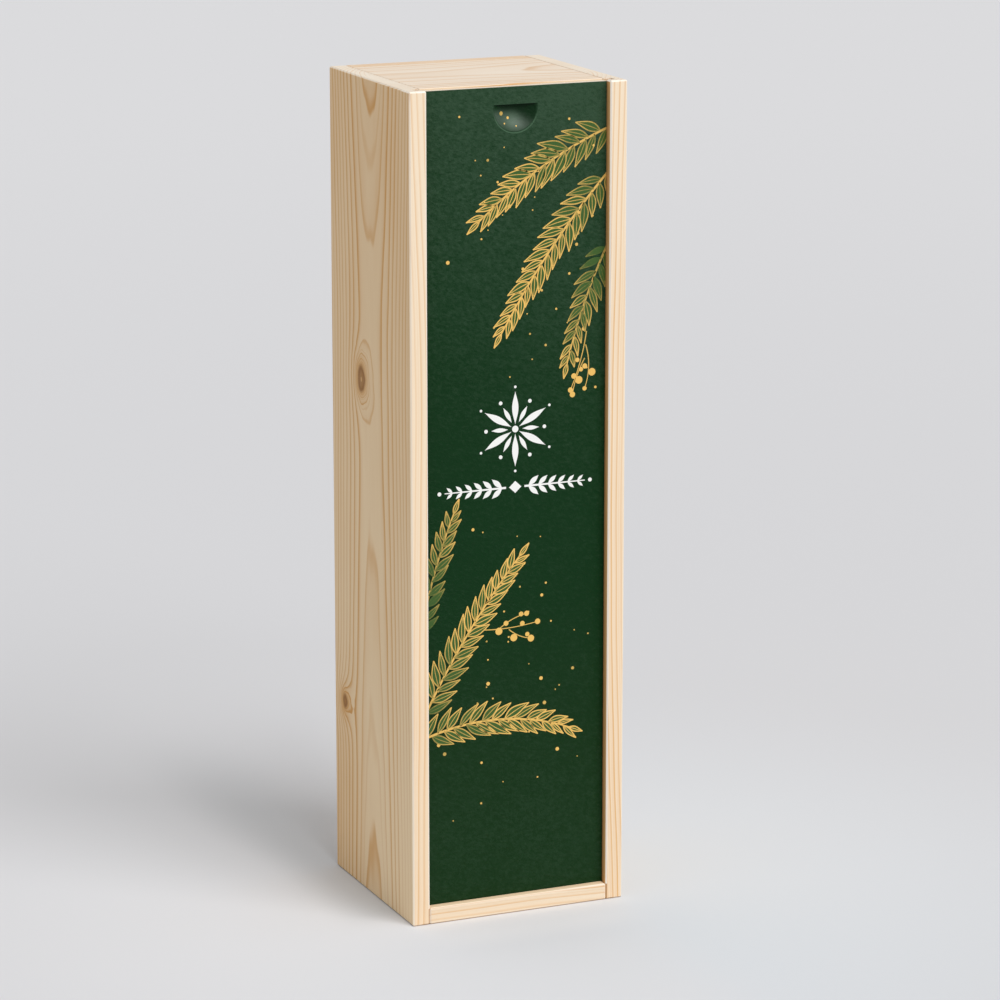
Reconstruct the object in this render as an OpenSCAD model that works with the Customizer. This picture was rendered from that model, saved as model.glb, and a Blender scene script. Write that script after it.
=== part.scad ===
// Upright box for one bottle, made of planed pine. The two grooved side boards
// run the full height. The back panel, the two end boards and the lid all fit
// between them, and the lid slides up and out of its groove at the top.
// Millimetres. The origin is the middle of the base, and the lid faces -Y.

/* [Box] */
// Outer width, across both side boards
box_w = 102; // [98:1:130]
// Outer depth, from the front edges to the back
box_d = 94; // [90:1:120]
// Outer height
box_h = 372; // [330:1:420]

/* [Boards] */
// Thickness of the side boards and the back panel
side_t = 8; // [7:0.5:10]
// Thickness of the end boards
end_t = 7.5; // [7:0.5:10]
// Eased arris on the boards whose edges show at the front
outer_ease = 0.6; // [0.2:0.1:0.8]
// Eased arris on the boards glued in between
seam_ease = 0.2; // [0.1:0.1:0.4]

/* [Lid] */
// Thickness of the lid
lid_t = 4; // [4:0.5:5]
// Play between the lid and each wall of the groove
lid_play = 0.2; // [0.1:0.05:0.3]
// Play between each long edge of the lid and the groove's floor
edge_play = 0.5; // [0.3:0.1:0.8]
// Depth of the groove in the side boards
side_groove = 4; // [3:0.5:4.5]
// Depth of the groove in the bottom board, where the closed lid stands
bottom_groove = 3.5; // [2:0.5:4]
// Wood left in front of the groove, which sets the lid back
lip_t = 4.2; // [3:0.1:6]
// How far the closed lid ends below the top of the box
lid_drop = 0.7; // [0.5:0.1:2]

/* [Thumb scoop] */
// Radius of the round rim
scoop_r = 10.2; // [8:0.2:13]
// Depth at the middle of the bowl
scoop_depth = 3.2; // [2:0.1:3.4]
// Height of the flat wall above the middle of the bowl
scoop_flat = 2.1; // [0:0.1:4]
// Wood between the flat wall and the lid's upper end
scoop_margin = 7.6; // [6:0.1:15]
// Chamfer around the rim
scoop_ease = 0.3; // [0.1:0.1:0.5]

/* [Brads] */
// Diameter of the shank
brad_d = 1.4; // [1.2:0.1:1.8]
// Length from head to point
brad_len = 22; // [16:1:26]
// Diameter of the head
brad_head_d = 2.3; // [2:0.1:3]
// Thickness of the head
brad_head_t = 0.8; // [0.5:0.1:1]
// How far the head is set below the back
brad_set = 0.3; // [0.1:0.1:0.6]
// Distance between the two brads of an end board
brad_pitch = 52; // [40:1:64]

/* [Hidden] */

// Room between the side boards
inner_w = box_w - 2 * side_t;

// Faces of the groove and of the back panel, measured along Y
front_y = -box_d / 2;
groove_y = front_y + lip_t;
groove_w = lid_t + 2 * lid_play;
groove_back_y = groove_y + groove_w;
back_y = box_d / 2;
panel_y = back_y - side_t;

// The closed lid
lid_w = inner_w + 2 * (side_groove - edge_play);
lid_y = groove_y + lid_play;
lid_foot_z = end_t - bottom_groove;
lid_head_z = box_h - lid_drop;
lid_ease = 0.2;

// Ball that cuts the scoop: its cap has the rim's radius and the bowl's depth
scoop_ball_r = (scoop_r^2 + scoop_depth^2) / (2 * scoop_depth);
scoop_z = lid_head_z - scoop_margin - scoop_flat;

brad_point = 2.5;

pine = "burlywood";
end_pine = "wheat";
lid_green = "darkgreen";
steel = "silver";

// How far a cutter runs past the face that it opens
past = 1;

// Rectangle from the origin with its four corners cut off at 45 degrees
module eased_outline(size, e) {
    polygon([
        [e, 0], [size.x - e, 0], [size.x, e], [size.x, size.y - e],
        [size.x - e, size.y], [e, size.y], [0, size.y - e], [0, e]
    ]);
}

// Board from corner lo to corner hi with all twelve arrises eased: what three
// eased outlines, one along each axis, have in common
module board(lo, hi, e) {
    size = hi - lo;
    translate(lo) intersection() {
        linear_extrude(size.z) eased_outline([size.x, size.y], e);
        translate([0, size.y, 0]) rotate([90, 0, 0])
            linear_extrude(size.y) eased_outline([size.x, size.z], e);
        rotate([90, 0, 90])
            linear_extrude(size.x) eased_outline([size.y, size.z], e);
    }
}

// Right-hand side board. Its groove is planed through from end to end, so it
// is open at the top for the lid and passes the end of the bottom board.
module side_board() {
    difference() {
        board([inner_w / 2, front_y, 0], [box_w / 2, back_y, box_h], outer_ease);
        translate([inner_w / 2 - past, groove_y, -past])
            cube([side_groove + past, groove_w, box_h + 2 * past]);
    }
}

module left_side() {
    color(pine) mirror([1, 0, 0]) side_board();
}

module right_side() {
    color(pine) side_board();
}

// Full-height panel glued between the side boards, flush with their backs
module back_panel() {
    color(pine) difference() {
        board([-inner_w / 2, panel_y, 0], [inner_w / 2, back_y, box_h], seam_ease);
        brad_holes();
    }
}

// The upper end board stops behind the groove, so that the lid can pass it
module top_board() {
    color(end_pine) difference() {
        board([-inner_w / 2, groove_back_y, box_h - end_t],
              [inner_w / 2, panel_y, box_h], seam_ease);
        brad_holes();
    }
}

// The lower end board comes forward flush with the side boards. The lid's foot
// stands in the groove across its upper face.
module bottom_board() {
    color(end_pine) difference() {
        board([-inner_w / 2, front_y, 0], [inner_w / 2, panel_y, end_t], outer_ease);
        translate([-inner_w / 2 - past, groove_y, lid_foot_z])
            cube([inner_w + 2 * past, groove_w, bottom_groove + past]);
        brad_holes();
    }
}

// Thin lid, painted on its face, with a scoop for the thumb near its head
module lid() {
    color(lid_green) difference() {
        board([-lid_w / 2, lid_y, lid_foot_z], [lid_w / 2, lid_y + lid_t, lid_head_z],
              lid_ease);
        thumb_scoop();
    }
}

// Bowl with a chamfered round rim, cut off by a flat wall above its middle
module thumb_scoop() {
    translate([0, lid_y, scoop_z]) intersection() {
        union() {
            translate([0, scoop_depth - scoop_ball_r, 0])
                sphere(r = scoop_ball_r, $fn = 96);
            rotate([-90, 0, 0]) translate([0, 0, -scoop_ease])
                cylinder(r1 = scoop_r + 2 * scoop_ease, r2 = scoop_r,
                         h = 2 * scoop_ease, $fn = 96);
        }
        translate([-scoop_r - past, -past, -scoop_r - past])
            cube([2 * (scoop_r + past), lid_t + past, scoop_r + past + scoop_flat]);
    }
}

// Two brads go through the back panel into the edge of each end board
module at_brads() {
    for (x = [-1, 1], z = [end_t / 2, box_h - end_t / 2])
        translate([x * brad_pitch / 2, back_y - brad_set, z]) rotate([90, 0, 0])
            children();
}

// Brad with its head's top at the origin and its point along +Z
module brad() {
    rotate_extrude($fn = 32) polygon([
        [0, 0], [brad_head_d / 2, 0], [brad_head_d / 2, brad_head_t],
        [brad_d / 2, brad_head_t], [brad_d / 2, brad_len - brad_point], [0, brad_len]
    ]);
}

module back_brads() {
    color(steel) at_brads() brad();
}

// The wood closes tightly round each brad and is open above its head
module brad_holes() {
    at_brads() {
        brad();
        translate([0, 0, -brad_set - past])
            cylinder(d = brad_head_d, h = brad_set + past + brad_head_t / 2, $fn = 32);
    }
}

left_side();
right_side();
back_panel();
top_board();
bottom_board();
lid();
back_brads();
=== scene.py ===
# Upright wooden box for one bottle, dressed piece by piece in the order in which it is put together.
import math

import bpy
import numpy as np
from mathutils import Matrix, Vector


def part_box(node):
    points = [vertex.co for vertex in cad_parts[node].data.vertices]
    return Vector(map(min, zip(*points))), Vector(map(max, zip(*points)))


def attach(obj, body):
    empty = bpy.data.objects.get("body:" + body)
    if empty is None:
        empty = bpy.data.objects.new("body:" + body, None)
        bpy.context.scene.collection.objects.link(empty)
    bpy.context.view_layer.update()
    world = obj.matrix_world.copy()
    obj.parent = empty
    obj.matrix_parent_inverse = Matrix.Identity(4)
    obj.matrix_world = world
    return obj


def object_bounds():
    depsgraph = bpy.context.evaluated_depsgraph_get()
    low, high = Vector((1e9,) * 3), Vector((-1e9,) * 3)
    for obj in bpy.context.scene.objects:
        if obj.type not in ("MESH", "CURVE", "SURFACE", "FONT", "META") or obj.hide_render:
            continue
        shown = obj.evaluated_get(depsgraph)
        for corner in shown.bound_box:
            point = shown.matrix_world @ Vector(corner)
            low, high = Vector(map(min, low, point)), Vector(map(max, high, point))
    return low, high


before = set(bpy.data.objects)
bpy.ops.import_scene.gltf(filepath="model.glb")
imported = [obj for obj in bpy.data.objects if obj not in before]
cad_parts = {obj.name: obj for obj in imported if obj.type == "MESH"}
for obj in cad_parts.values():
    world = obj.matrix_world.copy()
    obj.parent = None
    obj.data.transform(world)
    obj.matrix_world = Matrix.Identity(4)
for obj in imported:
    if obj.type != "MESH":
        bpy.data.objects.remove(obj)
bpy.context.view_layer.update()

# ---------------------------------------------------------------------------------------------
# Side boards: two full-height boards of planed and sanded pine, cut through the length of the
# trunk, so that the rings show as tall arches on the faces, lines on the edges and arcs on the ends.
# The whole board is one piece of timber, and every face is a cut through the same growth rings.
# ---------------------------------------------------------------------------------------------
MM = 1000.0  # millimetres in a metre: the wood's patterns are worked out in millimetres


class Value:
    """One output of a material's nodes. Arithmetic on it adds the Math nodes that work it out."""

    def __init__(self, tree, socket):
        self.tree = tree
        self.socket = socket

    def add(self, kind, settings=None, sockets=None, output=0):
        """One output of a new node: its settings are set first, then its sockets get values or links."""
        node = self.tree.nodes.new("ShaderNode" + kind)
        for name, setting in (settings or {}).items():
            setattr(node, name, setting)
        for name, given in (sockets or {}).items():
            if isinstance(given, Value):
                self.tree.links.new(given.socket, node.inputs[name])
            else:
                node.inputs[name].default_value = given
        return Value(self.tree, node.outputs[output])

    def math(self, operation, *others):
        """A Math node's operation on this value, with the other terms that the operation takes."""
        return self.add("Math", {"operation": operation}, dict(enumerate((self, *others))))

    def __add__(self, other):
        return self.math("ADD", other)

    __radd__ = __add__

    def __sub__(self, other):
        return self.math("SUBTRACT", other)

    def __rsub__(self, other):
        return self.add("Math", {"operation": "SUBTRACT"}, {0: other, 1: self})

    def __mul__(self, other):
        return self.math("MULTIPLY", other)

    __rmul__ = __mul__

    def __truediv__(self, other):
        return self.math("DIVIDE", other)

    def __pow__(self, power):
        return self.math("POWER", power)

    def __abs__(self):
        return self.math("ABSOLUTE")

    def at_least(self, other):
        """The larger of this value and another."""
        return self.math("MAXIMUM", other)

    def at_most(self, other):
        """The smaller of this value and another."""
        return self.math("MINIMUM", other)

    def rise(self, start, end):
        """0 below start, 1 above end, and a smooth step between them."""
        return self.add("MapRange", {"interpolation_type": "SMOOTHSTEP"},
                        {"Value": self, "From Min": start, "From Max": end})

    def fall(self, start, end):
        """1 below start, 0 above end, and a smooth step between them."""
        return 1 - self.rise(start, end)

    def vector(self, y, z):
        """The vector (self, y, z)."""
        return self.add("CombineXYZ", sockets={"X": self, "Y": y, "Z": z})

    def noise(self, detail=2.0, roughness=0.5):
        """Smooth noise, 0 to 1, with features one unit of this vector across."""
        return self.add("TexNoise", sockets={"Vector": self, "Scale": 1.0, "Detail": detail,
                                             "Roughness": roughness})

    def chance(self):
        """A random number, 0 to 1, that jumps wherever this value changes."""
        return self.add("TexWhiteNoise", {"noise_dimensions": "1D"}, {"W": self})

    def mix(self, low, high):
        """The colour low where this value is 0 and high where it is 1. A Mix node takes its colours
        through sockets 6 and 7, and gives its colour through output 2."""
        return self.add("Mix", {"data_type": "RGBA"}, {0: self, 6: low, 7: high}, output=2)


def new_material(name):
    """An empty material with its Principled shader, and the place on the surface in millimetres."""
    material = bpy.data.materials.new(name)
    material.use_nodes = True
    tree = material.node_tree
    place = Value(tree, None).add("TexCoord", output="Object")
    scaled = place.add("VectorMath", {"operation": "SCALE"}, {0: place, "Scale": MM})
    x, y, z = (scaled.add("SeparateXYZ", sockets={0: scaled}, output=letter) for letter in "XYZ")
    return material, tree.nodes["Principled BSDF"], x, y, z


def wear(shader, **sockets):
    """Links or sets the shader's sockets, given as names with underscores."""
    for name, given in sockets.items():
        socket = shader.inputs[name.replace("_", " ").title().replace("Ior", "IOR")]
        if isinstance(given, Value):
            given.tree.links.new(given.socket, socket)
        else:
            socket.default_value = given


def bump(height, depth):
    """A Bump node's normal for a height from 0 to 1 that is depth metres deep."""
    return height.add("Bump", sockets={"Height": height, "Distance": depth, "Strength": 1.0})


def dress(node, material):
    """Puts a material on a CAD node in place of the plain one that it was packed with."""
    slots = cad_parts[node].data.materials
    slots.clear()
    slots.append(material)


FACE = (0.838, 0.650, 0.416, 1.0)  # the broad faces, a little yellowed by light
EDGE = (0.86, 0.71, 0.53, 1.0)  # edges, sanded last
END = (0.855, 0.79, 0.68, 1.0)  # sawn and sanded ends
FACE_LINE = (0.61, 0.305, 0.075, 1.0)  # the dark line that closes each year's ring
EDGE_LINE = (0.68, 0.36, 0.115, 1.0)
KNOT = (0.27, 0.115, 0.022, 1.0)
ARRIS_HIGHLIGHT = (0.96, 0.89, 0.79, 1.0)  # painted highlight on the arrises at the front, paler than the wood
SEAM_AND_SHADE = (0.46, 0.25, 0.10, 1.0)  # glue and dust in the joints, also laid as painted shade at the foot of the box and on the lid's ends in the grooves
GROOVE_AND_SHADE = ((0.90, 0.52, 0.21, 1.0), (0.46, 0.23, 0.08, 1.0))  # planed grooves at the front, and painted shade deep in, towards the lid
PINE_ROUGHNESS = 0.62
LATE = 0.93  # the share of a year's growth at which its line is darkest
SECOND_DRAW = 31.7  # moves a year's number on, for its second random number
EDGE_DEPTH = 0.72  # how dark the lines are on edges and ends
WAVER = 0.24  # how far short waves shift the lines, in rings
CROOK = 2.6  # how far the outline of a knot wanders, in millimetres
MOST_PULL = 1.4  # inside a knot its pull grows no further than this, from 1 at the rim
GROOVE_FLOOR = 4.0  # how far the groove's floor lies under a board's outer face
LID_PLAY = 0.2  # between the lid and each wall of its groove
GROOVE_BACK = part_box("lid")[1].y * MM + LID_PLAY
END_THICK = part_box("bottom_board")[1].z * MM
SIDE_THICK = (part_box("left_side")[1].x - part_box("left_side")[0].x) * MM


def stretched(along, across, into, seed, per_length, per_width, detail=2.0, roughness=0.5):
    """Noise drawn out along the grain, with per_length features to a millimetre along it and
    per_width across it."""
    drawn_out = (along * per_length).vector(across * per_width, into * per_width + seed)
    return drawn_out.noise(detail, roughness)


def rings(along, across, into, trunk, knots, seed):
    """How many rings lie between a point and the pith, and how far it is outside the nearest knot.

    The count is the distance to the pith over the width of a ring, plus shift. With t the way along the
    board from the crest, the pith lies depth - bend (sqrt(t^2 + round^2) - round) - tilt t under the
    board's face, and runs at centre + lean along across it. Where the trunk is blunt, the square s of
    the distance sideways becomes s^2 / (s + blunt^2), which rounds off the tips of the arches. Noise
    shifts the count by drift over long stretches and by WAVER over short ones. Each knot lowers it by
    pull exp(-r / reach) + push exp(-(r / spread)^2), where r is the distance from its rim, so the
    rings close up and wrap round it.
    """
    t = along - trunk["crest"]
    bow = ((t * t + trunk["round"] ** 2) ** 0.5 - trunk["round"]) * trunk["bend"]
    pith = trunk["depth"] - bow - t * trunk["tilt"] - into
    aside = across - trunk["centre"] - along * trunk["lean"]
    square = aside * aside
    if "blunt" in trunk:
        square = square * square / (square + trunk["blunt"] ** 2)
    drift = stretched(along, across, into, seed, 0.006, 0.035, 1.0) - 0.5
    waver = stretched(along, across, into, seed, 0.030, 0.16, 0.0) - 0.5
    count = ((pith * pith + square) ** 0.5 / trunk["ring"] + trunk["shift"]
             + drift * trunk["drift"] + waver * WAVER)
    outside = None
    for knot in knots:
        rise = (along - knot["along"]) / knot["tall"]
        away = across - knot["across"]
        crook = ((along * 0.16).vector(across * 0.16, seed).noise(1.0) - 0.5) * CROOK
        r = (rise * rise + away * away) ** 0.5 + crook - knot["size"]
        near = (r / knot["reach"] * -1.0).math("EXPONENT")
        wide = (r * r * (-1 / knot["spread"] ** 2)).math("EXPONENT")
        count = count - near.at_most(MOST_PULL) * knot["pull"] - wide * knot["push"]
        outside = r if outside is None else outside.at_most(r)
    return count, outside


def year_lines(count, flat, seed):
    """The dark line that closes each year's ring, and a faint false line inside some of the rings.
    Two random numbers for the year set how dark its line is and where it starts. It starts later and
    is a little paler where flat is 1, over the pith, where the saw ran along the rings."""
    year = count.math("FLOOR")
    part = count.math("FRACT")
    strong = (year + seed).chance()
    late = (year + seed + SECOND_DRAW).chance()
    start = flat * 0.18 + late * 0.16 + 0.48
    closing = part.fall(LATE, 1.0)
    sharp = part.rise(start, LATE) * closing
    broad = part.rise(start - 0.35, 0.95) * closing
    line = (sharp * 0.66 + broad * 0.34) * (strong * 0.65 + 0.40) * (1 - flat * 0.2)
    faint = part.rise(0.22, 0.34) * part.fall(0.36, 0.44) * late.rise(0.45, 1.0) * 0.3
    return line, faint


def dress_in_pine(node, along, across, into, trunk, knots=(), seed=0.0, face=FACE, edge=EDGE,
                  sawn=0.08, depth=1.0, ease=0.6, highlight=0.9, groove=None, coat=None):
    """Planed pine for a board. along, across and into give an axis, its sign and its offset in
    millimetres, and into is measured down from the board's face. sawn is how much darker the end
    grain is, depth how dark the lines are on the faces, ease the size of the eased arrises, rub how
    strongly a painted highlight is laid on them at the front, groove the two colours of the planed
    grooves at the front and deep in, darker deep in as painted shade, and coat a function that paints
    over the wood. A trunk may darken the face towards its top, and towards the rear at the foot,
    which is painted shade."""
    material, shader, x, y, z = new_material(node + "_finish")
    place = {"x": x, "y": y, "z": z}
    low, high = (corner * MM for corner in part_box(node))

    def axis(letter, sign, offset):
        return place[letter] * sign + offset

    def close(letter, start=0.5, stop=1.0):
        """1 at the two faces square to an axis, falling from start to stop arrises in from them."""
        value = place[letter]
        inside = (value - getattr(low, letter)).at_most(getattr(high, letter) - value)
        return inside.fall(ease * start, ease * stop)

    run, side, deep = axis(*along), axis(*across), axis(*into)
    end = close(along[0])  # 1 on the two sawn ends
    skin = close(into[0]) * (1 - end)  # 1 on the two broad faces

    # How dark the figure of the wood is: about 0 for the palest wood and 1 for the darkest line
    count, outside = rings(run, side, deep, trunk, knots, seed)
    flat = abs(side - trunk["centre"]).fall(4.0, 24.0)
    line, faint = year_lines(count, flat, seed)
    fibre = stretched(run, side, deep, seed, 0.02, 1.9, 3.0, 0.6) - 0.5
    fleck = stretched(run, side, deep, seed, 0.10, 3.2, 1.0).rise(0.68, 0.80)
    cloud = stretched(run, side, deep, seed, 0.012, 0.06) - 0.5
    tone = (line + faint) * (skin * (depth - EDGE_DEPTH) + EDGE_DEPTH)
    tone = tone + fibre * 0.22 + cloud * 0.28 + fleck * 0.08 + 0.05
    if knots:
        tone = tone + outside.fall(0.0, 8.0) * 0.24 + outside.fall(0.0, 3.4) * 0.26
    tone = tone * (1 - end * 0.4) + end * sawn
    tone = tone + (1 - skin) * (1 - end) * (0.04 - run * 0.00065)  # edges, paler along the board
    if "top_darkening" in trunk:
        # darker towards the top of the face
        tone = tone + run.rise(-60.0, 190.0) * skin * trunk["top_darkening"]
        # painted shade: darker towards the rear at the foot of the face
        tone = tone + run.fall(-150.0, -50.0) * skin * side * trunk["foot"]

    # The figure over the bare colour, then the knots, paler inside their dark rims
    bare = end.mix(skin.mix(edge, face), END)
    colour = tone.at_least(0.0).at_most(1.0).mix(bare, skin.mix(EDGE_LINE, FACE_LINE))
    if knots:
        dark = outside.rise(-3.2, -0.8) * 0.26 + 0.72
        middle = outside.fall(-4.4, -3.7) * 0.5
        colour = (outside.fall(-1.7, 0.7) * (dark - middle)).at_most(1.0).mix(colour, KNOT)

    # Planed grooves with painted shade deeper in, then glue seams along the inner arrises, then a painted
    # highlight on the arrises at the front
    if groove is not None:
        front = y.fall(GROOVE_BACK - 0.1, GROOVE_BACK + 0.1)
        near_x, near_y, near_z = (close(letter, 0.9, 1.3) for letter in "xyz")
        arris = (near_x * near_y + near_y * near_z + near_z * near_x).at_most(1.0)
        planed = front * (1 - close("y")) * (1 - end) * deep.rise(GROOVE_FLOOR - 0.3, GROOVE_FLOOR - 0.1)
        # painted shade that grows deeper in, towards the lid
        shaded_in = y.rise(low.y + 0.8, low.y + 4.4)
        colour = planed.mix(colour, shaded_in.mix(*groove))
        # painted highlight on the front arrises
        lit_arris = front * arris * highlight
        if along[0] == "z":
            inner = deep.rise(SIDE_THICK * 0.4, SIDE_THICK * 0.6)
            joint = arris * inner * (1 - front * z.rise(END_THICK - 0.3, END_THICK))
            colour = (joint * (0.9 - end * 0.6)).mix(colour, SEAM_AND_SHADE)
            lit_arris = lit_arris * (1 - joint) * (inner * 0.4 + 0.6)
        colour = lit_arris.mix(colour, ARRIS_HIGHLIGHT)
    colour = (z.fall(0.3, 0.7) * 0.75).mix(colour, SEAM_AND_SHADE)  # painted shade along the foot of the box, where it stands on the floor

    if coat is None:
        relief = fibre * 0.6 + line * 0.4 - fleck * 0.3
        finish = {"base_color": colour, "roughness": line * -0.08 + PINE_ROUGHNESS,
                  "specular_ior_level": 0.25, "normal": bump(relief, 0.00005)}
    else:
        finish = coat(colour, x, y, z)
    wear(shader, **finish)
    dress(node, material)


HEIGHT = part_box("left_side")[1].z * MM
HALF = HEIGHT / 2
HALF_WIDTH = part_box("right_side")[1].x * MM
UPWARD = ("z", 1, -HALF)
SIDEWAYS = ("x", 1, 0)
REARWARD = ("y", 1, 0)

left_trunk = dict(depth=55.904, ring=1.99, crest=257.6 - HALF, round=25.0, bend=0.0245, tilt=0.0089,
                  centre=-0.5, lean=-0.0039, drift=0.5, shift=0.35, top_darkening=0.20, foot=0.006, blunt=7.0)
left_knots = [dict(along=237.4 - HALF, across=11.0, size=4.8, tall=1.32,
                   reach=3.4, pull=4.2, spread=15.0, push=0.45),
              dict(along=82.4 - HALF, across=34.5, size=3.4, tall=1.15,
                   reach=3.4, pull=3.6, spread=13.0, push=0.5)]
dress_in_pine("left_side", UPWARD, REARWARD, ("x", 1, HALF_WIDTH), left_trunk, left_knots, 1.7,
              depth=0.9, groove=GROOVE_AND_SHADE)

right_trunk = dict(depth=60.856, ring=1.9, crest=-30.0, round=60.0, bend=0.03, tilt=-0.006,
                   centre=-6.0, lean=0.004, drift=0.6, shift=0.1)
right_knots = [dict(along=-96.0, across=-12.0, size=4.6, tall=1.3,
                    reach=4.6, pull=3.8, spread=16.0, push=0.8)]
dress_in_pine("right_side", UPWARD, REARWARD, ("x", -1, HALF_WIDTH), right_trunk, right_knots, 8.3,
              depth=0.9, groove=GROOVE_AND_SHADE)

# ---------------------------------------------------------------------------------------------
# Back panel: one more full-height pine board, glued between the side boards flush with their
# rear edges. Its upper end shows on the top of the box.
# ---------------------------------------------------------------------------------------------
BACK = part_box("back_panel")[1].y * MM
back_trunk = dict(depth=65.856, ring=1.85, crest=60.0, round=50.0, bend=0.034, tilt=0.004,
                  centre=9.0, lean=0.01, drift=0.6, shift=0.4)
back_knots = [dict(along=64.0, across=-19.0, size=5.4, tall=1.2,
                   reach=5.0, pull=4.0, spread=16.0, push=0.8),
              dict(along=-121.0, across=22.0, size=3.0, tall=1.2,
                   reach=3.8, pull=3.0, spread=12.0, push=0.7)]
dress_in_pine("back_panel", UPWARD, SIDEWAYS, ("y", -1, BACK), back_trunk, back_knots, 14.9,
              sawn=0.40, ease=0.2)

# ---------------------------------------------------------------------------------------------
# End boards: two short pine boards glued between the side boards, with the grain from side to
# side. The lower one comes forward as a rail, the upper one stops behind the lid.
# ---------------------------------------------------------------------------------------------
PALE = (0.84, 0.735, 0.61, 1.0)
RAIL_EDGE = (0.822, 0.69, 0.525, 1.0)
# the rail's planed lip, paler than its wood as painted light against the lid's shade, a little less pale
# deep in
RAIL_GROOVE_LIGHT_AND_SHADE = ((0.98, 0.76, 0.52, 1.0), (0.90, 0.66, 0.42, 1.0))
end_trunk = dict(depth=65.952, ring=2.1, crest=-10.0, round=8.0, bend=0.0225, tilt=0.0225,
                 centre=3.0, lean=0.0, drift=0.4, shift=0.14)
dress_in_pine("top_board", SIDEWAYS, REARWARD, ("z", -1, HEIGHT), end_trunk, (), 21.4, PALE,
              depth=0.6, ease=0.2)
rail_trunk = {**end_trunk, "centre": 12.0, "crest": 20.0, "shift": 0.2}
dress_in_pine("bottom_board", SIDEWAYS, REARWARD, ("z", 1, 0), rail_trunk, (), 27.6, PALE, RAIL_EDGE,
              highlight=0.3, groove=RAIL_GROOVE_LIGHT_AND_SHADE)

# ---------------------------------------------------------------------------------------------
# Brads: four bright steel brads, driven through the back panel into the end boards and set just
# below the surface.
# ---------------------------------------------------------------------------------------------
STEEL = ((0.42, 0.42, 0.43, 1.0), (0.66, 0.66, 0.67, 1.0))  # between the draw marks and on them
material, shader, x, y, z = new_material("brad_steel")
drawn = (x * 1.5).vector(y * 0.4, z * 1.5).noise(3.0)
wear(shader, base_color=drawn.mix(*STEEL), metallic=1.0, roughness=drawn * 0.25 + 0.25)
dress("back_brads", material)

# ---------------------------------------------------------------------------------------------
# Lid: a thin board that slides in the grooves. Its face and scoop are sprayed with matt dark
# green, which dries with a fine pebbled skin. The edges and the back stay bare.
# ---------------------------------------------------------------------------------------------
lid_low, lid_high = (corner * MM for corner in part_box("lid"))
LID_MID = (lid_high.z + lid_low.z) / 2
INNER_HALF = HALF_WIDTH - SIDE_THICK  # half the room between the side boards
PAINT_SKIN = 0.35  # how far the paint wraps over the arris
SCOOP_MARGIN = 7.6  # wood between the scoop's flat wall and the lid's upper end
SCOOP_RISE = 2.1  # height of the flat wall above the middle of the bowl
SCOOP_FLAT = lid_high.z - SCOOP_MARGIN
SCOOP_Z = SCOOP_FLAT - SCOOP_RISE
SCOOP_R = 10.2
SCOOP_RIM = 0.3
SCOOP_DEPTH = 3.2
BALL_R = (SCOOP_R ** 2 + SCOOP_DEPTH ** 2) / (2 * SCOOP_DEPTH)
GLEAM_X, GLEAM_RISE = -0.6, -4.9  # where the painted highlight lies in the scoop, from the middle of the bowl
GLEAM_REACH = 6.2
DEEP_GREEN = (0.0012, 0.0270, 0.0048, 1.0)
FOOT_LIT_GREEN = (0.0036, 0.0270, 0.0046, 1.0)  # takes the place of the deep green near the foot, as painted light there
# the paler paint of sweeps and pebbles, and the painted sheen
PALE_AND_SHEEN_GREEN = (0.0294, 0.068, 0.0350, 1.0)
SCOOP_SHADE_GREEN = (0.0007, 0.0115, 0.0019, 1.0)  # painted shade in the sheltered part of the scoop
# painted highlight along the lower rim of the scoop
RIM_HIGHLIGHT = (0.060, 0.125, 0.070, 1.0)
# painted highlight in the bowl
GLEAM_GREEN = (0.088, 0.165, 0.098, 1.0)


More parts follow.
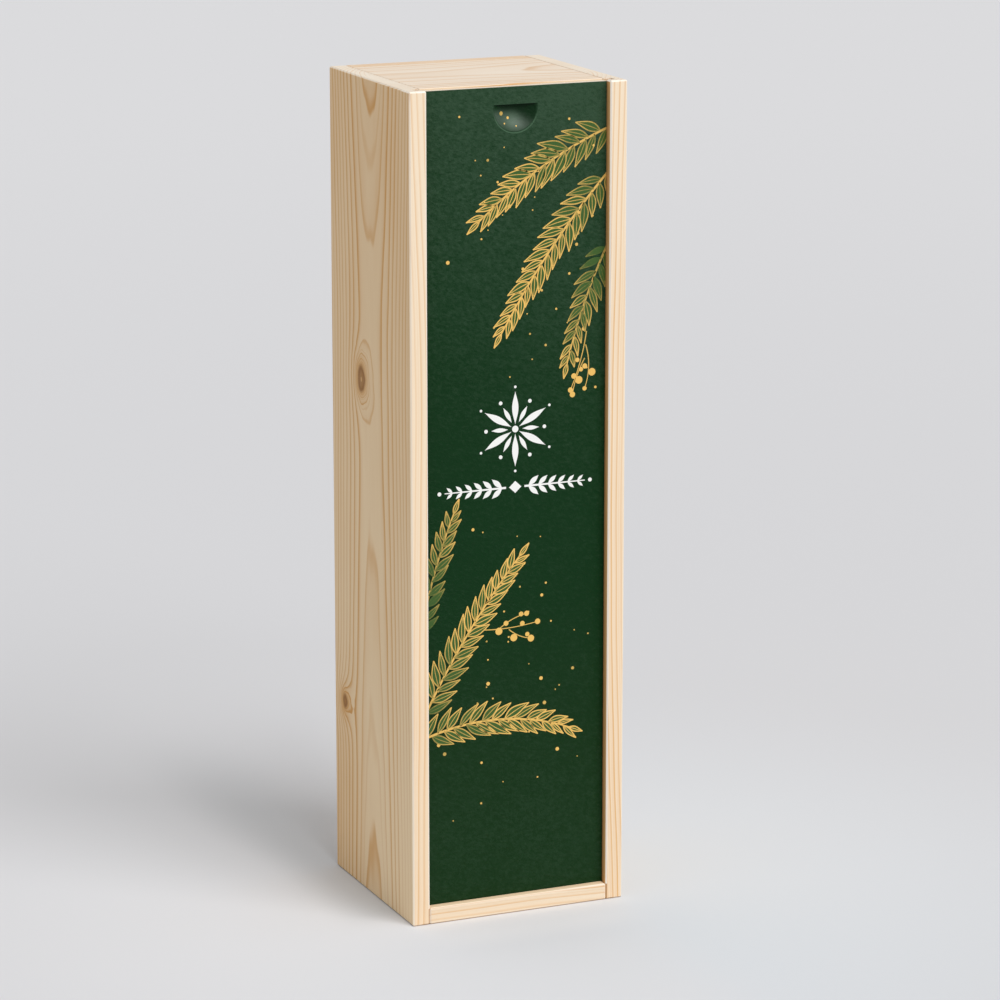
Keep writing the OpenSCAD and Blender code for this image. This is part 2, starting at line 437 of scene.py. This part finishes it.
def green_coat(bare, x, y, z):
    """Paint where the surface is close under the lid's face or inside the scoop, else bare wood. The paint
    carries painted sheen, light, shade and highlights.
    """
    rise = z - SCOOP_Z
    out = (x * x + rise * rise) ** 0.5
    under = y - lid_low.y
    scoop = out.fall(SCOOP_R + 0.5, SCOOP_R + 0.7) * rise.fall(SCOOP_RISE + 0.5, SCOOP_RISE + 0.7)
    scoop = scoop * under.fall(SCOOP_DEPTH + 0.1, SCOOP_DEPTH + 0.3)
    painted = scoop.at_least(under.fall(PAINT_SKIN - 0.1, PAINT_SKIN + 0.1))

    # How pale the paint is: a painted sheen at the top right and painted light at the foot, over sweeps and
    # pebbles in the paint
    pebble = (x * 0.55 + z * 0.2).vector(y * 0.6, z * 0.8).noise(4.0, 0.6)
    speck = (x * 3.0).vector(y * 3.0, z * 3.0).noise(1.0)
    sweep = (x * 0.03).vector(y * 0.03, z * 0.02).noise(2.0)
    grain = (pebble - 0.5) * 1.5 + (speck - 0.5) * 0.8
    pale = ((z + x * 0.5) / lid_high.z).rise(0.45, 1.05) * 0.98 + (sweep - 0.5) * 0.35 - 0.03
    pale = pale + grain * (z.rise(200.0, 360.0) * 0.9 + 1.0)
    # painted light near the foot
    pale = pale + (z / lid_high.z).fall(0.05, 0.4) * 0.18

    # In the scoop: painted light low down, where the bowl faces up, and painted shade towards the top and
    # right
    cavity = scoop * under.rise(0.0, 0.5)
    scoop_shade = (rise + x * 0.6).rise(-8.0, 3.0)
    facing_up = (1 - scoop_shade) * rise.fall(-3.0, 2.0)
    pale = pale * (1 - cavity) + cavity * (facing_up * (rise.rise(-10.5, -5.0) * 0.9 + 0.6) - 0.2)
    # painted sheen at the top right of the lid
    painted_sheen = z.rise(330.0, 372.0) * x.rise(-60.0, 50.0) * (1 - cavity)
    pale = pale * 0.66 + painted_sheen * 0.34
    green = pale.at_least(0.0).mix(z.rise(60.0, 170.0).mix(FOOT_LIT_GREEN, DEEP_GREEN), PALE_AND_SHEEN_GREEN)
    green = (cavity * (scoop_shade * 0.5 + rise.rise(0.6, 1.9) * 0.4)).mix(green, SCOOP_SHADE_GREEN)

    # A painted highlight in the middle of the bowl, and another along the lower half of the rim
    gleam = ((x - GLEAM_X) ** 2 + (rise - GLEAM_RISE) ** 2) ** 0.5
    green = (cavity * gleam.fall(0.0, GLEAM_REACH) * 0.45).mix(green, GLEAM_GREEN)
    # painted highlight along the lower half of the rim
    rim = out.rise(SCOOP_R - 0.2, SCOOP_R + 0.1) * out.fall(SCOOP_R + 0.3, SCOOP_R + 0.5)
    green = (rim * rise.fall(-6.0, 0.0) * 0.85).mix(green, RIM_HIGHLIGHT)

    # Painted shade on the two ends of the upper edge, which lie in the grooves
    hidden = abs(x).rise(INNER_HALF - 0.4, INNER_HALF + 0.4) * z.rise(lid_high.z - 0.4, lid_high.z - 0.1)
    bare = (hidden * 0.55).mix(bare, SEAM_AND_SHADE)
    return {"base_color": painted.mix(bare, green), "roughness": painted * -0.20 + PINE_ROUGHNESS,
            "coat_weight": cavity * facing_up * (rise.rise(-11.0, -4.0) + 0.1),
            "coat_roughness": 0.42, "specular_ior_level": 0.11,
            "normal": bump(pebble * 0.7 + speck * 0.3, 0.0006)}


lid_trunk = {**back_trunk, "centre": 14.0, "crest": 30.0, "shift": 0.7}
dress_in_pine("lid", ("z", 1, -LID_MID), SIDEWAYS, ("y", 1, -lid_low.y), lid_trunk, (), 33.0, PALE,
              ease=0.2, coat=green_coat)

# ---------------------------------------------------------------------------------------------
# Gold print: leafy sprigs with berries and a scatter of dots, screen printed on the green lid.
# Every line is a thin ribbon of ink that lies on the face and follows it down into the scoop.
# ---------------------------------------------------------------------------------------------
INK = 0.03  # millimetres that the ink stands proud
PATH_STEP = 0.0015  # how much higher each next path of a group lies
PATH_CYCLE = 16  # after this many paths the steps start again
GROUP_STEP = 0.003  # how much higher each next group lies
PRINT_HALF = lid_high.x - 0.4  # the print stops just short of the lid's long edges
FACE_Y = lid_low.y
FACET = 0.03  # how far the bowl's flat facets lie over the true ball
STEM_STEPS = 49
STALK_STEPS = 17
SIDE_BERRIES = ((11, (1.9, 1.1)), (7, (-1.9, -1.0)))  # the stalk's step and how far off it each sits
DOTS_HALF = 41  # how far to either side of the middle the dots reach
DOTS_LOW, DOTS_HIGH = 14, 366
SCOOP_KEEP = 13  # how far loose dots keep from the middle of the bowl
WHITE_Z, WHITE_TALL, WHITE_WIDE = 212, 30, 37  # middle and half sizes of the white print's place
OLIVE = (0.040, 0.098, 0.016, 1.0)
GOLD = (0.86, 0.53, 0.135, 1.0)


def bowl(x, z):
    """Depth of the scoop under the lid's face: a cap of the ball that cut it, less FACET, or the
    chamfered rim where that is deeper."""
    out = np.hypot(x, z - SCOOP_Z)
    cap = np.sqrt(np.maximum(BALL_R ** 2 - out ** 2, 0)) - (BALL_R - SCOOP_DEPTH)
    depth = np.maximum(cap - FACET, np.minimum(SCOOP_R + SCOOP_RIM - out, SCOOP_RIM))
    return np.where((out < SCOOP_R + SCOOP_RIM) & (z < SCOOP_FLAT), depth, 0.0)


def trim(paths, widths, shades):
    """Paths cut off where they first leave the lid: each is measured again up to that point. A path
    with less than a quarter of its length on the lid is left out."""
    count = paths.shape[1]
    inside = np.cumprod(np.abs(paths[..., 0]) < PRINT_HALF, axis=1).sum(axis=1)
    kept = inside > count * 0.25
    paths, widths, shades, inside = paths[kept], widths[kept], shades[kept], inside[kept]
    place = np.linspace(0, 1, count)[None, :] * (inside[:, None] - 1)
    low = np.minimum(place.astype(int), count - 2)
    part = place - low

    def measure(values):
        rows = np.arange(len(values))[:, None]
        share = part[..., None] if values.ndim == 3 else part
        return values[rows, low] * (1 - share) + values[rows, low + 1] * share

    return measure(paths), measure(widths), measure(shades)


def ribbons(paths, widths, lift):
    """Vertices and quads of closed ribbons. A path is a row of (x, z) points in millimetres, and at
    each point the profile is a flat rectangle square to the path, widths wide, and cut off straight
    at the edge of the print. It starts INK under the face and stands lift proud of it, and a little
    more for each next path, so none coincide."""
    ahead = np.gradient(paths, axis=1)
    ahead = ahead / np.linalg.norm(ahead, axis=2, keepdims=True)
    square = np.stack([-ahead[..., 1], ahead[..., 0]], axis=2) * widths[..., None] / 2
    corners = np.stack([paths - square, paths - square, paths + square, paths + square], axis=2)
    corners[..., 0] = np.clip(corners[..., 0], -PRINT_HALF, PRINT_HALF)
    proud = lift + PATH_STEP * (np.arange(len(paths)) % PATH_CYCLE)
    level = np.outer(proud, [0, -1, -1, 0]) + INK * np.array([1, 0, 0, 1])
    y = FACE_Y + bowl(corners[..., 0], corners[..., 1]) + level[:, None, :]
    points = np.stack([corners[..., 0], y, corners[..., 1]], axis=3)
    many, count = paths.shape[:2]
    index = np.arange(many * count * 4).reshape(many, count, 4)
    side = np.roll(index, -1, axis=2)
    walls = np.stack([index[:, :-1], index[:, 1:], side[:, 1:], side[:, :-1]], axis=3).reshape(-1, 4)
    caps = np.concatenate([index[:, 0], index[:, -1, ::-1]])
    return points.reshape(-1, 3) / MM, np.concatenate([walls, caps])


def new_piece(name, groups, material):
    """One object from groups of (paths, widths, shades), with the shades kept as an attribute. Each
    group lies GROUP_STEP over the one before it."""
    points, quads, shades, total = [], [], [], 0
    for order, (paths, widths, shade) in enumerate(groups):
        vertices, faces = ribbons(paths, widths, INK + GROUP_STEP * order)
        points.append(vertices)
        quads.append(faces + total)
        shades.append(np.repeat(shade.reshape(-1), 4))
        total += len(vertices)
    points, quads = np.concatenate(points), np.concatenate(quads)
    mesh = bpy.data.meshes.new(name)
    mesh.vertices.add(len(points))
    mesh.vertices.foreach_set("co", points.astype(np.float32).ravel())
    mesh.loops.add(quads.size)
    mesh.loops.foreach_set("vertex_index", quads.astype(np.int32).ravel())
    mesh.polygons.add(len(quads))
    mesh.polygons.foreach_set("loop_start", np.arange(0, quads.size, 4, dtype=np.int32))
    mesh.update(calc_edges=True)
    mesh.shade_flat()
    attribute = mesh.attributes.new("shade", "FLOAT", "POINT")
    attribute.data.foreach_set("value", np.concatenate(shades).astype(np.float32))
    piece = bpy.data.objects.new(name, mesh)
    bpy.context.scene.collection.objects.link(piece)
    mesh.materials.append(material)
    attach(piece, "lid")


def turned(along, across, at, heading):
    """Points along and across a heading, turned to it and moved to at. Angles are in radians."""
    c, s = np.cos(heading)[:, None], np.sin(heading)[:, None]
    return np.stack([at[:, :1] + along * c - across * s, at[:, 1:] + along * s + across * c], axis=2)


def stem(at, heading, turn, length, steps):
    """A bent stem in even steps: how far along it each is, the heading there in radians, and the
    place. The heading turns evenly from the first to the last, so the stem is an arc of a circle."""
    s = np.linspace(0, 1, steps)
    headings = np.radians(heading + turn * s)
    stride = np.stack([np.cos(headings), np.sin(headings)], axis=1) * length / (steps - 1)
    return s, headings, np.array(at) + np.cumsum(stride, axis=0) - stride[0]


def sprig(at, heading, turn, length, leaves, leaf, shade):
    """Groups for one sprig: an olive body, two gold edges and a rib for each leaf, and the stem.
    Leaves stand on alternate sides and lean towards the tip. With t the distance along a leaf, its
    middle bends by bend t^2, and its edges lie fat sin(pi t) (1 + 0.3 cos(pi t)) to either side."""
    s, headings, path = stem(at, heading, turn, length, STEM_STEPS)
    where = np.linspace(0.06, 1.0, leaves)
    spot = np.minimum((where * (STEM_STEPS - 1)).astype(int), STEM_STEPS - 1)
    side = np.where(np.arange(leaves) % 2 == 0, 1.0, -1.0)
    side[-1] = 0.0
    base, lean = path[spot], headings[spot] + side * np.radians(52 - 20 * where)
    long = leaf * (0.72 + 0.42 * np.sin(np.pi * (0.18 + 0.72 * where)) - 0.22 * where)
    long = long * draw.uniform(0.88, 1.1, leaves)
    fat = long * draw.uniform(0.115, 0.15, leaves)
    bend = -side * long * draw.uniform(0.06, 0.2, leaves)
    glow = shade + 0.6 * where + draw.uniform(-0.15, 0.15, leaves)
    t = np.linspace(0, 1, 17)
    along = long[:, None] * t
    middle = bend[:, None] * t ** 2
    edge = fat[:, None] * np.sin(np.pi * t) * (1 + 0.3 * np.cos(np.pi * t))
    edge_width = np.broadcast_to(0.58 - 0.12 * t, along.shape)
    rib_width = np.broadcast_to(0.42 - 0.18 * t, along.shape)
    glow = glow[:, None]
    groups = [(turned(along, middle, base, lean), np.maximum(2 * edge, 0.05), glow * 0.3 - 0.4 + 0 * along)]
    for way in (-1, 1):
        groups.append((turned(along, middle + way * edge, base, lean), edge_width, glow + 0.35 * t - 0.15))
    rib = turned(along * 0.86, bend[:, None] * (t * 0.86) ** 2, base, lean)
    groups.append((rib, rib_width, glow + 0.3 * t - 0.2))
    groups.append((path[None], (1.05 - 0.5 * s)[None], (shade + 0.3 + 0.45 * s)[None]))
    return groups


def rounds(places, radii, shades):
    """Round spots of ink: ribbons that run across the circle, 2 sqrt(r^2 - u^2) wide at u."""
    u = np.sin(np.linspace(-0.995, 0.995, 13) * np.pi / 2)
    along = radii[:, None] * u
    paths = turned(along, along * 0, places, places[:, 0] * 0)
    return paths, radii[:, None] * 2 * np.sqrt(1 - u ** 2), np.broadcast_to(shades[:, None], along.shape)


material, shader, x, y, z = new_material("gold_ink")
shade = x.add("Attribute", {"attribute_name": "shade"}, output=2)
grain = x.vector(y, z).noise(2.0, 0.7)
rich = (shade + (grain - 0.5) * 0.4).rise(-0.1, 0.9)
wear(shader, base_color=rich.mix(OLIVE, GOLD), metallic=rich * 0.25, roughness=grain * 0.1 + 0.38,
     specular_ior_level=0.3)

draw = np.random.default_rng(20)
sprigs = [
    dict(at=(46.0, 352.0), heading=200, turn=22, length=74, leaves=27, leaf=13.0, shade=0.25),
    dict(at=(46.0, 334.0), heading=226, turn=14, length=88, leaves=31, leaf=12.0, shade=0.35),
    dict(at=(46.0, 304.0), heading=242, turn=14, length=60, leaves=21, leaf=10.5, shade=0.0),
    dict(at=(-46.0, 90.0), heading=64, turn=-14, length=88, leaves=31, leaf=12.5, shade=0.3),
    dict(at=(-46.0, 128.0), heading=80, turn=-12, length=60, leaves=21, leaf=10.5, shade=-0.05),
    dict(at=(-46.0, 84.0), heading=20, turn=-42, length=74, leaves=27, leaf=12.5, shade=0.35),
]
groups = [trim(*group) for each in sprigs for group in sprig(**each)]
new_piece("gold_sprigs", groups, material)

# Berries on fine stalks, in two bunches where the sprigs leave room
stalks = [
    dict(at=(34.0, 262.0), heading=262, turn=-16, length=27),
    dict(at=(33.6, 256.0), heading=290, turn=-40, length=20),
    dict(at=(33.2, 250.0), heading=238, turn=22, length=17),
    dict(at=(-19.0, 132.0), heading=-8, turn=18, length=30),
    dict(at=(-8.0, 131.0), heading=40, turn=-30, length=15),
    dict(at=(-3.0, 130.6), heading=-44, turn=34, length=12),
]
groups = []
berries = []
for stalk in stalks:
    s, headings, path = stem(steps=STALK_STEPS, **stalk)
    groups.append((path[None], (0.5 - 0.2 * s)[None], (0.55 + 0.3 * s)[None]))
    berries += [path[-1]] + [path[step] + off for step, off in SIDE_BERRIES]
berries = np.array(berries)
radii = draw.uniform(1.0, 1.75, len(berries))
groups.append(rounds(berries, radii, draw.uniform(0.7, 1.15, len(berries))))
new_piece("gold_berries", groups, material)

# Scattered dots, thickest near the sprigs, with a few down in the scoop
near_top = draw.normal((6, 318), (26, 34), (46, 2))
near_foot = draw.normal((-4, 112), (26, 40), (40, 2))
loose = draw.uniform((-40, 40), (40, 345), (26, 2))
in_scoop = [(0.9, 354.0), (-2.6, 357.6), (-4.6, 355.3), (-5.9, 359.7)]
dots = np.concatenate([near_top, near_foot, loose, in_scoop])
aside, height = dots.T
meant = np.arange(len(dots)) >= len(dots) - len(in_scoop)
clear = (np.abs(aside) < DOTS_HALF) & (height > DOTS_LOW) & (height < DOTS_HIGH)
clear &= (np.hypot(aside, height - SCOOP_Z) > SCOOP_KEEP) | meant
clear &= ~((np.abs(height - WHITE_Z) < WHITE_TALL) & (np.abs(aside) < WHITE_WIDE))
dots = dots[clear]
sizes = 0.28 + 0.62 * draw.power(0.6, len(dots)) ** 1.5
new_piece("gold_dots", [rounds(dots, sizes, draw.uniform(0.45, 1.2, len(dots)))], material)

# ---------------------------------------------------------------------------------------------
# White print: a star of six long and six short rays with a bead beyond each, over two leafy
# sprays with a diamond between them, screen printed in white on the widest clear part of the lid.
# ---------------------------------------------------------------------------------------------
CHALK = ((0.80, 0.80, 0.77, 1.0), (0.90, 0.90, 0.88, 1.0))
STAR = np.array([(0.0, 221.0)])
LONG_RAY = dict(start=2.2, long=14.5, wide=3.0, phase=90)
SHORT_RAY = dict(start=3.4, long=8.0, wide=1.9, phase=60)
BEAD_OUT = (18.8, 13.9)  # how far the beads beyond long and short rays lie from the middle
BEAD_R = (0.6, 0.85)
MIDDLE_R = 1.5
SPRAY_Z = 195.0
SPRAY_STEM = np.linspace(4.4, 33.5, 25)  # places along a spray's stem, from the middle outwards
SPRAY_TIP = 36.0  # where the bead beyond it lies
SPRAY_LEAN = 0.72  # radians that a spray's leaves stand off its stem
DIAMOND_HALF = 2.9
DIAMOND_TALL = 5.4
material, shader, x, y, z = new_material("white_ink")
grain = (x * 1.4).vector(y * 1.4, z * 1.4).noise(3.0, 0.6)
wear(shader, base_color=grain.mix(*CHALK), roughness=0.5, specular_ior_level=0.25)


def lenses(places, headings, long, wide):
    """Filled lens shapes, wide sin(pi u)^1.2 across at u along their length."""
    u = np.linspace(0, 1, 21)
    along = np.outer(long, u)
    across = np.outer(wide, np.maximum(np.sin(np.pi * u) ** 1.2, 0.03))
    return turned(along, along * 0, places, headings), across, along * 0


def around(count, phase):
    """The angles of count rays in radians, the first at phase degrees, and unit vectors along them."""
    angle = np.radians(phase + np.arange(count) * 360.0 / count)
    return angle, np.stack([np.cos(angle), np.sin(angle)], axis=1)


def rays(count, start, long, wide, phase):
    """A ring of lenses that point away from the middle of the star."""
    angle, out = around(count, phase)
    return lenses(STAR + out * start, angle, np.full(count, long), np.full(count, wide))


def level(sideways):
    """Places at the height of the sprays."""
    return np.stack([sideways, np.full(len(sideways), SPRAY_Z)], axis=1)


groups = [rays(6, **LONG_RAY), rays(6, **SHORT_RAY)]
angle, out = around(12, 90)
ray = np.arange(12) % 2  # 0 for a long ray, 1 for a short one
groups.append(rounds(STAR + out * np.take(BEAD_OUT, ray)[:, None], np.take(BEAD_R, ray), angle * 0))
groups.append(rounds(STAR, np.array([MIDDLE_R]), np.zeros(1)))
leaf = np.arange(6)
for way in (-1, 1):
    path = level(way * SPRAY_STEM)[None]
    groups.append((path, np.linspace(0.95, 0.45, len(SPRAY_STEM))[None], path[..., 0] * 0))
    roots = level(way * (6.2 + 4.7 * leaf))
    for up in (-1, 1):
        heading = np.arctan2(up * np.sin(SPRAY_LEAN), way * np.cos(SPRAY_LEAN)) + leaf * 0
        groups.append(lenses(roots, heading, 6.6 - 0.55 * leaf, 2.3 - 0.2 * leaf))
    groups.append(rounds(level(np.array([way * SPRAY_TIP])), np.array([0.9]), np.zeros(1)))
v = np.linspace(-1, 1, 15)
tall = DIAMOND_TALL * np.maximum(1 - np.abs(v), 0.02)
groups.append((level(v * DIAMOND_HALF)[None], tall[None], v[None] * 0))
new_piece("white_ornament", groups, material)

# ---------------------------------------------------------------------------------------------
# Studio: a pale seamless floor with painted light and painted shadow round the box, one large soft lamp in
# front, to the right and above, and an even dim light from all round.
# ---------------------------------------------------------------------------------------------
FLOOR_SIZE = 40.0  # metres
FLOOR_LEFT = (0.738, 0.745, 0.768, 1.0)  # round the box, on its left and on its right, paler as a painted pool of light
FLOOR_RIGHT = (0.714, 0.742, 0.776, 1.0)
FLOOR_MIDDLE = (0.655, 0.655, 0.671, 1.0)
FLOOR_FAR = (0.688, 0.688, 0.702, 1.0)
FLOOR_FRONT_LIGHT = (0.800, 0.797, 0.812, 1.0)  # painted light in a strip before the rail, against the box's shade there
FLOOR_SHADOW = (0.06, 0.10, 0.11, 1.0)  # painted shadow in a strip beside the left board
# painted light behind the box
FLOOR_BEHIND_LIGHT = (0.80, 0.80, 0.82, 1.0)
bpy.ops.mesh.primitive_grid_add(x_subdivisions=2, y_subdivisions=2, size=FLOOR_SIZE)
floor = bpy.context.object
floor.name = "floor"
floor.location.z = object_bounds()[0][2]
material, shader, x, y, z = new_material("studio_floor")
# Paler close round the box, dimmer in a ring further off and a little paler far away: a painted pool of
# light
from_front = y + 50.0
reach = (x * x + from_front * from_front) ** 0.5 / MM
pale = reach.rise(0.05, 0.40).mix(x.rise(10.0, 70.0).mix(FLOOR_LEFT, FLOOR_RIGHT), FLOOR_MIDDLE)
# painted light before the rail
front_light = abs(y + 62.0).fall(4.0, 26.0) * abs(x).fall(20.0, 60.0)
pale = front_light.mix(pale, FLOOR_FRONT_LIGHT)
# painted shadow beside the left board, the core of the box's shadow
shadow_core = abs(x + 58.0).fall(1.0, y.rise(40.0, 140.0) * 14.0 + 26.0)
shadow_core = shadow_core * y.rise(-45.0, -20.0) * y.fall(130.0, 300.0)
pale = (shadow_core * 0.17).mix(pale, FLOOR_SHADOW)
# painted light behind the box, which pales the far part of its shadow
behind = (y - 240.0) * 0.7
lift = ((x * x + behind * behind) ** 0.5).fall(20.0, 150.0)
pale = (lift * 0.3).mix(pale, FLOOR_BEHIND_LIGHT)
wear(shader, base_color=reach.rise(0.5, 2.8).mix(pale, FLOOR_FAR), roughness=0.9, specular_ior_level=0.1)
floor.data.materials.append(material)


def aim(thing, place, target):
    """Sets a lamp or a camera at a place, looking at a target."""
    thing.location = place
    thing.rotation_euler = (Vector(target) - Vector(place)).to_track_quat("-Z", "Y").to_euler()


def direction(azimuth, elevation):
    """The unit vector from the object towards a viewer: azimuth 0 is in front, 90 on the right."""
    a, e = math.radians(azimuth), math.radians(elevation)
    return Vector((math.sin(a) * math.cos(e), -math.cos(a) * math.cos(e), math.sin(e)))


LAMP_AZIMUTH = 17.0
LAMP_ELEVATION = 45.0
LAMP_ANGLE = 46.0  # degrees that the lamp covers as seen from the box, which softens the shadow
LAMP_ENERGY = 2.13
LAMP_AWAY = 3.0
AMBIENT = (0.55, 0.55, 0.55, 1.0)
BACKDROP = (0.70, 0.70, 0.714, 1.0)  # what the camera and reflections see instead
lamp_data = bpy.data.lights.new("key_lamp", "SUN")
lamp_data.angle = math.radians(LAMP_ANGLE)
lamp_data.energy = LAMP_ENERGY
lamp = bpy.data.objects.new("key_lamp", lamp_data)
bpy.context.scene.collection.objects.link(lamp)
aim(lamp, direction(LAMP_AZIMUTH, LAMP_ELEVATION) * LAMP_AWAY, (0, 0, 0))

world = bpy.data.worlds.new("studio")
bpy.context.scene.world = world
world.use_nodes = True
tree = world.node_tree
seen = Value(tree, None).add("LightPath", output="Is Camera Ray")
seen = seen.at_least(seen.add("LightPath", output="Is Glossy Ray"))
tree.links.new(seen.mix(AMBIENT, BACKDROP).socket, tree.nodes["Background"].inputs["Color"])

# ---------------------------------------------------------------------------------------------
# Camera: a long lens in front of the left corner, a little above the box.
# ---------------------------------------------------------------------------------------------
IMAGE = 1000  # pixels
FOCAL_PIXELS = 4030.2
SENSOR = 36.0
AZIMUTH = -23.378
ELEVATION = 13.485
DISTANCE = 1.80882
TARGET_ASIDE = 0.010243  # metres to the right of the box's middle line, seen from the camera
TARGET_Z = 0.179714
camera_data = bpy.data.cameras.new("camera")
camera_data.sensor_width = SENSOR
camera_data.lens = FOCAL_PIXELS / IMAGE * SENSOR
camera = bpy.data.objects.new("camera", camera_data)
bpy.context.scene.collection.objects.link(camera)
target = Vector((math.cos(math.radians(AZIMUTH)), math.sin(math.radians(AZIMUTH)), 0)) * TARGET_ASIDE
target.z = TARGET_Z
aim(camera, target + direction(AZIMUTH, ELEVATION) * DISTANCE, target)
bpy.context.scene.camera = camera
bpy.context.scene.view_settings.view_transform = "Standard"
